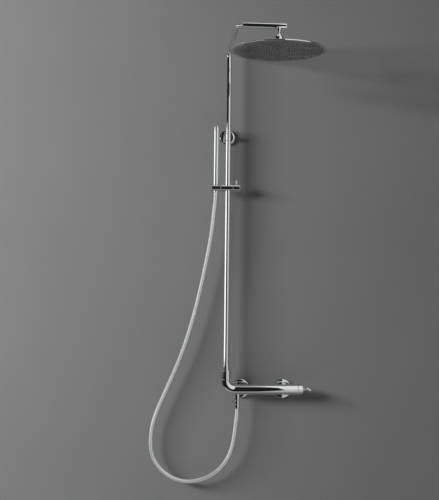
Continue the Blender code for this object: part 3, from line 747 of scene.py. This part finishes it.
def bracket():
    """The wall plate with its cross-slotted screw, the domed cover and the rod to the riser."""
    at = Vector((RISER_X, 0, BRACKET_Z))
    plate = bar("bracket_plate_fine", 0.0180, 0.0, 0.0040, at, "-Y", 0.0005)
    combine(plate, bar("screw_hole", 0.0028, -0.010, 0.010, at, "-Y", sides=32))
    dress(plate, "column", "stainless_steel", ["bracket_plate"])

    rows, sides, core, crest, pitch = 200, 32, 0.0017, 0.0024, 0.0022
    tip, shank, taper = -0.0300, 0.0343, 0.005
    rings = [[(0, 0, tip)]]
    for k in range(rows + 1):
        h = tip + shank * k / rows
        fade = min(1, (h - tip) / taper) * min(1, max(0, (0.0005 - h) / pitch))
        ring = []
        for i in range(sides):
            phase = (h / pitch + i / sides) % 1
            rib = max(0, 1 - abs(2 * phase - 1) * 3)
            r = core * min(1, 0.15 + (h - tip) / taper) + (crest - core) * rib * fade
            ring.append((r * cos(2 * pi * i / sides), r * sin(2 * pi * i / sides), h))
        rings.append(ring)
    head = [(0.0046, 0.0043), (0.0046, 0.0052, 0.0004), (0.0034, 0.0070, 0.0008), (0, 0.0070)]
    rings += [circle(r, h, sides) for r, h in rounded(head, False)[:-1]]
    rings.append([(0, 0, 0.0070)])
    screw = skin("bracket_screw_fine", rings, False)
    recess = [box("slot", (-0.0026, -0.0004, 0.0056), (0.0026, 0.0004, 0.0080))]
    recess.append(box("slot", (-0.0004, -0.0026, 0.0056), (0.0004, 0.0026, 0.0080)))
    combine(screw, *recess)
    screw.data.transform(Matrix.Translation(at) @ aim("-Y"))
    dress(screw, "column", "stainless_steel", ["bracket_screw"])

    dome = [(r, 0.0116 - r * r / 2.4) for r in (0.0064, 0.0100, 0.0140, 0.0180, 0.0220)]
    outside = [*dome, (0.0268, 0.0100, 0.0030), (0.0275, 0, 0.0003)]
    inside = [(0.0245, 0), (0.0225, 0.0055), (0.0160, 0.0092), (0.0064, 0.0098)]
    cover = lathe("bracket_cover_fine", outside + inside, at, "-Y", 96, closed=True)
    dress(cover, "column", "chrome", ["bracket_cover"])

    end = -BODY_Y - 0.0128
    rod = [(0, end), (0.0060, end, 0.0010), (0.0060, 0.0078, 0.0004)]
    rod += [(0.0050, 0.0078), (0.0050, 0.0200), (0, 0.0200)]
    dress(lathe("bracket_rod_fine", rod, at, "-Y", 64), "column", "chrome", ["bracket_rod"])


# Arm and head -------------------------------------------------------------------------------
def arm():
    """The upper tube and arm in one bent piece, with the outlet's boss, and the stem and ball."""
    rise = Vector((RISER_X, BODY_Y - ARM_BEND_R, ARM_Z - ARM_BEND_R))
    bend = arc(rise, (0, ARM_BEND_R, 0), (0, 0, ARM_BEND_R), 24)
    turn = Vector((RISER_X + ARM_CORNER_R, HEAD_Y + ARM_CORNER_R, ARM_Z))
    corner = arc(turn, (-ARM_CORNER_R, 0, 0), (0, -ARM_CORNER_R, 0), 24)
    foot = [Vector((RISER_X, BODY_Y, z)) for z in (ARM_FOOT_Z, 0.90, rise.z - SETTLE)]
    reach = [Vector((RISER_X, y, ARM_Z)) for y in (rise.y - SETTLE, turn.y + SETTLE)]
    end = [Vector((x, HEAD_Y, ARM_Z)) for x in (turn.x + SETTLE, ARM_END_X)]
    line = foot + bend + reach + corner + end
    tube = pipe("arm_tube_fine", line, ARM_R, sides=72, ends=0.0009)
    at = Vector((0, HEAD_Y, ARM_Z))
    boss = [(0, -0.0040), (0.0078, -0.0040), (0.0078, -0.0150, 0.0005), (0, -0.0150)]
    combine(tube, lathe("boss", boss, at), operation="UNION")
    dress(tube, "arm", "chrome", ["arm_tube"])

    neck = [(0, 0.0242), (0.0068, 0.0242, 0.0004), (0.0068, 0.0205, 0.0006), (0.0043, 0.0172, 0.0010)]
    ball = sphere_arc(BALL_R, 64.5, -84, 24)
    stem = lathe("swivel_ball_fine", [*neck, *ball, (0, -BALL_R)], BALL)
    dress(stem, "arm", "chrome", ["swivel_ball"])


def head():
    """The nut on the ball, the thin round head, its face and its silicone nozzles."""
    nut = [(0.0106, 0.0120, 0.0003), (0.0145, 0.0048, 0.0008), (0.0145, -0.0160, 0.0006), (0.0128, -0.0160)]
    nut += [(0.0128, -0.0012), *sphere_arc(0.0124, -2, 43, 8), (0.0098, 0.0120)]
    dress(lathe("socket_nut_fine", nut, BALL, closed=True), "head", "chrome", ["socket_nut"])

    top = flowing([(0.0124, 0.0176), (0.0200, 0.0158), (0.0700, 0.0110), (0.1200, 0.0066), (0.1445, 0.0041)])
    outside = [(0.0108, 0.0300), (0.0124, 0.0300, 0.0003), *top, (HEAD_R, 0.0034, 0.0014)]
    outside.append((HEAD_R, 0, 0.0008))
    inside = [(0.1462, 0, 0.0002), (0.1462, 0.0026), (0.0700, 0.0096), (0.0080, 0.0146)]
    inside += [(0.0080, 0.0258), (0.0108, 0.0258)]
    shell = lathe("head_shell_fine", outside + inside, HEAD, sides=160, closed=True)
    dress(shell, "head", "chrome", ["head_shell"])

    plate = [(0, 0.0011), (0.1459, 0.0011), (0.1459, 0, 0.0004), (0, 0)]
    plate = lathe("face_plate_fine", plate, HEAD, sides=160)
    dress(plate, "head", "chrome", ["face_plate"], satin_steel())

    golden, count, edge = pi * (3 - sqrt(5)), 900, 0.1385
    tips = []
    for i in range(count):
        r = edge * sqrt((i + 0.5) / count)
        tips.append((r * cos(golden * i), r * sin(golden * i)))
    nozzles("face_nozzles", tips, 0.0017, 0.0016, HEAD, "head")


def nozzles(name, spots, radius, height, at, body, turn=None):
    """Small soft tips that point down from a face, each with its hole."""
    sides = 8
    profile = [(0, 0.0001), (radius, 0.0001), (radius, -height * 0.25), (radius * 0.68, -height)]
    profile += [(radius * 0.34, -height), (radius * 0.30, -height * 0.45), (0, -height * 0.45)]
    form = bmesh.new()
    for x, y in spots:
        rows = []
        for r, h in profile:
            if r < 1e-6:
                rows.append([form.verts.new((x, y, h))])
            else:
                turns = [2 * pi * i / sides for i in range(sides)]
                rows.append([form.verts.new((x + r * cos(t), y + r * sin(t), h)) for t in turns])
        for a, b in zip(rows, rows[1:]):
            for i in range(sides):
                j = (i + 1) % sides
                corners = [a[i % len(a)], a[j % len(a)], b[j % len(b)], b[i % len(b)]]
                form.faces.new(list(dict.fromkeys(corners)))
    bmesh.ops.recalc_face_normals(form, faces=form.faces)
    mesh = mesh_of(name, form)
    mesh.transform(Matrix.Translation(at) @ (turn or Matrix.Identity(4)))
    obj = place(name, mesh)
    shade(obj, 50)
    dress(obj, body, "grey_silicone")


# Holder and hand shower ---------------------------------------------------------------------
def holder():
    """The slider on the riser, its lock knob with the pin handle, and the slotted clip."""
    left, right = RISER_X - 0.0236, RISER_X + 0.0180
    body = bar("slider_body_fine", HOLDER_R, left, right, HOLDER, "X", 0.0006, 96)
    at = RISER + Vector((0, 0, HOLDER_Z))
    combine(body, bar("riser_bore", 0.0109, -0.030, 0.030, at, sides=80))
    combine(body, bar("screw_bore", 0.0056, RISER_X, right + 0.010, HOLDER, "X", sides=40))
    combine(body, bar("pivot_bore", 0.0039, left - 0.010, left + 0.0072, HOLDER, "X", sides=40))
    dress(body, "slider", "chrome", ["slider_body"])

    start, end = right + GAP, RISER_X + 0.0420
    shell = [(0, end), (HOLDER_R, end, 0.0009), (HOLDER_R, start, 0.0006), (0.0038, start)]
    shell += [(0.0038, end - 0.010), (0, end - 0.010)]
    knob = lathe("lock_knob_fine", shell, HOLDER, "X", 96)
    pin_at = Vector((RISER_X + 0.030, BODY_Y, HOLDER_Z))
    combine(knob, bar("pin_hole", 0.0024, 0.0088, 0.020, pin_at, sides=32))
    dress(knob, "slider_lock", "chrome", ["lock_knob"])
    pin = [(0, 0.0275), (0.0030, 0.0275, 0.0012), (0.0030, 0.0133, 0.0003)]
    pin += [(0.0021, 0.0133), (0.0021, 0.0092), (0, 0.0092)]
    dress(lathe("lock_pin_fine", pin, pin_at, sides=40), "slider_lock", "chrome", ["lock_pin"])

    clip_left, clip_right = RISER_X - 0.0550, left - 0.0014
    clip = bar("clip_fine", HOLDER_R, clip_left, clip_right, HOLDER, "X", 0.0006, 96)
    socket = [(0, 0.0200), (0.0105, 0.0200), (0.0105, 0.0110)]
    socket += [(0.0090, -0.0132), (0.0090, -0.0200), (0, -0.0200)]
    hand_at = Vector((HANDSET_X, BODY_Y, HOLDER_Z))
    combine(clip, lathe("clip_socket", socket, hand_at, sides=80))
    half, reach = 0.0077, 0.020
    low = (clip_left - reach, BODY_Y - half, HOLDER_Z - reach)
    combine(clip, box("clip_slot", low, (HANDSET_X, BODY_Y + half, HOLDER_Z + reach)))
    bore = bar("clip_bore", 0.0032, clip_right - 0.0045, clip_right + 0.010, HOLDER, "X", sides=40)
    combine(clip, bore)
    dress(clip, "clip", "chrome", ["clip"])


def long_hole(name, half, low, high):
    """The pieces of a long form with round ends, which reaches out of the stick's wall side."""
    reach = 0.020
    near, far = low + half, high - half
    corners = (HANDSET_X - half, BODY_Y, near), (HANDSET_X + half, BODY_Y + reach, far)
    ends = [Vector((HANDSET_X, BODY_Y, z)) for z in (near, far)]
    return [box(name, *corners), *[bar(name + "_end", half, 0, reach, z, "Y", sides=40) for z in ends]]


def hand_shower():
    """The stick with its end cap, the spray strip with its nozzles, and the conical nut."""
    foot, top = HOLDER_Z + 0.0113, HANDSET_TOP_Z - 0.0040
    stick = sleeve("handset_tube_fine", HANDSET_R, 0.0082, foot, top, HANDSET, corner=0.0004, sides=80)
    low, high = top - 0.075, top - 0.012
    combine(stick, *long_hole("window", 0.0045, low, high))
    dress(stick, "hand_shower", "chrome", ["handset_tube"])

    cap = [(0, 0.0040), (HANDSET_R, 0.0040, 0.0014), (HANDSET_R, GAP, 0.0003)]
    cap += [(0.0079, GAP), (0.0079, -0.0060), (0, -0.0060)]
    cap = lathe("handset_cap_fine", cap, HANDSET + Vector((0, 0, top)))
    dress(cap, "hand_shower", "chrome", ["handset_cap"])

    outer, ends = HANDSET_R - 0.0002, (low + GAP, high - GAP)
    strip = sleeve("spray_strip_fine", outer, 0.0072, *ends, HANDSET, corner=0.0002, sides=80)
    blank, *ends = long_hole("blank", 0.0042, low, high)
    combine(blank, *ends, operation="UNION")
    combine(strip, blank, operation="INTERSECT")
    dress(strip, "hand_shower", "grey_silicone", ["spray_strip"])
    face = Vector((HANDSET_X, BODY_Y + HANDSET_R - 0.0004, (low + high) / 2))
    across, along, edge = 0.0022, 0.0042, 0.0275
    spots = []
    for side in (-1, 0, 1):
        heights = [along * (row + (0 if side else 0.5)) for row in range(-6, 7)]
        spots += [(across * side, h) for h in heights if abs(h) < edge]
    nozzles("strip_nozzles", spots, 0.0008, 0.0010, face, "hand_shower", Matrix.Rotation(pi / 2, 4, "X"))

    cone = [(0.0090, 0.0110), (0.0099, 0.0108, 0.0005), (0.0086, -0.0156, 0.0006)]
    cone += [(0.0076, -0.0156), (0.0076, 0.0110)]
    at = HANDSET + Vector((0, 0, HOLDER_Z))
    nut = lathe("hose_nut_upper_fine", cone, at, sides=80, closed=True)
    dress(nut, "hand_shower", "chrome", ["hose_nut_upper"])


# CAD nodes that stay ------------------------------------------------------------------------
KEPT_NODES = {
    "brass": ["cartridge_nut", "lever_hub"],
    "stainless_steel": ["cartridge_stem", "lock_screw", "pivot_pin"],
    "white_acetal": [
        "cartridge", "handle_guide_ring", "check_valve_left", "check_valve_right", "slide_bush",
        "ball_seat", "flow_filter", "brake_pad", "friction_washer",
    ],
    "black_rubber": ["inlet_washer_left", "inlet_washer_right", "hose_washer", "riser_seal"],
    "grey_silicone": ["nozzle_mat"],
}


def finish_kept_nodes():
    """Procedural materials for the hidden pieces, which keep their CAD shape."""
    for slot, names in KEPT_NODES.items():
        for name in names:
            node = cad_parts[name]
            node.data.materials.clear()
            node.data.materials.append(FINISHES[slot])


# Studio -------------------------------------------------------------------------------------
def plane(name, corners, finish):
    mesh = bpy.data.meshes.new(name)
    mesh.from_pydata(corners, [], [tuple(range(len(corners)))])
    mesh.materials.append(finish)
    obj = place(name, mesh)
    return obj


def wall_finish():
    """Plain grey render coat, seen and lit from the front only, so that it hides nothing from behind."""
    made = Nodes("wall_coat")
    made.fixed(Roughness=0.85)
    grain = made.noise(420, 4)
    made.tint(made.noise(3, 3), (0.150, 0.151, 0.153), (0.170, 0.171, 0.173))
    made.relief(grain, 0.0012, 0.5)
    clear = made.add("BsdfTransparent").outputs[0]
    behind = made.add("NewGeometry").outputs["Backfacing"]
    mix = made.add("MixShader", (0, behind), (1, made.shader.outputs[0]), (2, clear))
    output = next(n for n in made.tree.nodes if n.type == "OUTPUT_MATERIAL")
    made.tree.links.new(mix.outputs[0], output.inputs["Surface"])
    return made.material


def floor_finish():
    made = Nodes("pale_floor")
    made.fixed(Roughness=0.7)
    made.tint(made.noise(4, 3), (0.66, 0.66, 0.65), (0.70, 0.70, 0.69))
    return made.material


def softbox(name, at, towards, width, height, power):
    """A rectangular lamp that the camera doesn't see."""
    lamp = bpy.data.lights.new(name, "AREA")
    lamp.shape, lamp.size, lamp.size_y = "RECTANGLE", width, height
    lamp.energy = power
    obj = place(name, lamp)
    obj.location = at
    obj.rotation_mode = "QUATERNION"
    obj.rotation_quaternion = (Vector(towards) - Vector(at)).to_track_quat("-Z", "Y")
    obj.visible_camera = False
    return obj


def studio_sky():
    """A plain pale surround for the eye, a soft fill, and for the chrome a dark room to mirror.

    Levels are given against the height above the horizon in degrees, for four sides of the room:
    ahead of the column, the window on its left, the bright side on its right, and behind it.
    """
    dark, window = 0.012, 1.45
    ground = [(-90, 0.18), (-66, 0.20), (-58, 0.29), (-42, 0.30), (-34, dark)]
    ceiling = [(55, dark), (62, 0.50), (90, 0.50)]
    middle = ground + ceiling
    left = [*ground, (-7.8, dark), (-7.1, window), (7.7, window), (8.4, dark), *ceiling]
    right = [(-90, 0.08), (-68, 0.09), (-60, 0.31), (-44, 0.33), (-38, 0.48), (-22, 0.50)]
    right += [(0, 0.56), (6, 0.72), (30, 0.79), (90, 0.83)]
    behind = [(-90, 0.25), (-25, 0.30), (-6, 0.08), (4, 0.08), (25, 0.50), (90, 0.80)]

    world = bpy.data.worlds.new("studio")
    bpy.context.scene.world = world
    world.use_nodes = True
    tree = world.node_tree
    tree.nodes.clear()

    def add(kind, *inputs, **settings):
        return add_node(tree, kind, *inputs, **settings)

    def sum_of(operation, *values):
        return add("Math", *enumerate(values), operation=operation).outputs[0]

    def spread(value, start, end):
        return add("MapRange", ("Value", value), ("From Min", start), ("From Max", end)).outputs["Result"]

    def ramp(stops):
        node = add("ValToRGB", ("Fac", spread(height, -90, 90)))
        marks = node.color_ramp.elements
        for mark, level in ((marks[0], stops[0][1]), (marks[1], stops[-1][1])):
            mark.color = (level, level, level, 1)
        for degrees, level in stops[1:-1]:
            marks.new((degrees + 90) / 180).color = (level, level, level, 1)
        return node.outputs["Color"]

    def mix(factor, first, second):
        node = add("Mix", ("Factor", factor), data_type="RGBA")
        colours = [i for i in node.inputs if i.type == "RGBA"]
        tree.links.new(first, colours[0])
        tree.links.new(second, colours[1])
        return [o for o in node.outputs if o.type == "RGBA"][0]

    across, away, up = add("SeparateXYZ", (0, add("TexCoord").outputs["Generated"])).outputs
    turn = sum_of("MULTIPLY", sum_of("ARCTAN2", across, sum_of("MULTIPLY", away, -1.0)), 180 / pi)
    height = sum_of("MULTIPLY", sum_of("ARCSINE", up), 180 / pi)

    # Where one side gives way to the next, in degrees to the right of straight out from the wall.
    left_edge, right_edge, right_end = (-40, -42), (7.84, 7.98), (70, 76)
    behind_edge = (0.05, 0.25)  # as a share of the way towards the wall
    lean_from, lean_rate = 9.0, 0.00198  # above that height the right side's edge curves away
    above = sum_of("MAXIMUM", sum_of("SUBTRACT", height, lean_from), 0.0)
    lean = sum_of("MULTIPLY", sum_of("POWER", above, 2.0), lean_rate)
    colour = mix(spread(turn, *left_edge), ramp(middle), ramp(left))
    colour = mix(spread(sum_of("SUBTRACT", turn, lean), *right_edge), colour, ramp(right))
    colour = mix(spread(turn, *right_end), colour, ramp(middle))
    colour = mix(spread(away, *behind_edge), colour, ramp(behind))

    mirrored = add("Background", ("Color", colour))
    fill = add("Background", ("Color", (0.062, 0.063, 0.065, 1)))
    plain = add("Background", ("Color", (0.60, 0.60, 0.61, 1)))
    path = add("LightPath").outputs
    lit = add("MixShader", (0, path["Is Diffuse Ray"]), (1, mirrored.outputs[0]), (2, fill.outputs[0]))
    seen = add("MixShader", (0, path["Is Camera Ray"]), (1, lit.outputs[0]), (2, plain.outputs[0]))
    add("OutputWorld", ("Surface", seen.outputs[0]))


def studio():
    """The surround, the wall, the floor and one key light high on the left."""
    studio_sky()
    wall, floor, top, side = 0.0006, -1.05, 3.2, 4
    corners = [(-side, wall, floor), (side, wall, floor), (side, wall, top), (-side, wall, top)]
    plane("wall", corners, wall_finish())
    front, back, side = -7, 4, 5
    corners = [(-side, front, floor), (side, front, floor), (side, back, floor), (-side, back, floor)]
    ground = plane("floor", corners, floor_finish())
    at, towards = (-3.3, -2.15, 1.34), (-0.1, -0.1, 0.75)
    key = softbox("key", at, towards, width=2.0, height=0.75, power=236)
    ground.visible_glossy = key.visible_glossy = False


bpy.context.scene.view_settings.view_transform = "Standard"
add_camera()
hose()
inlets()
mixer()
handle()
outlet()
riser()
bracket()
arm()
head()
holder()
hand_shower()
finish_kept_nodes()
studio()
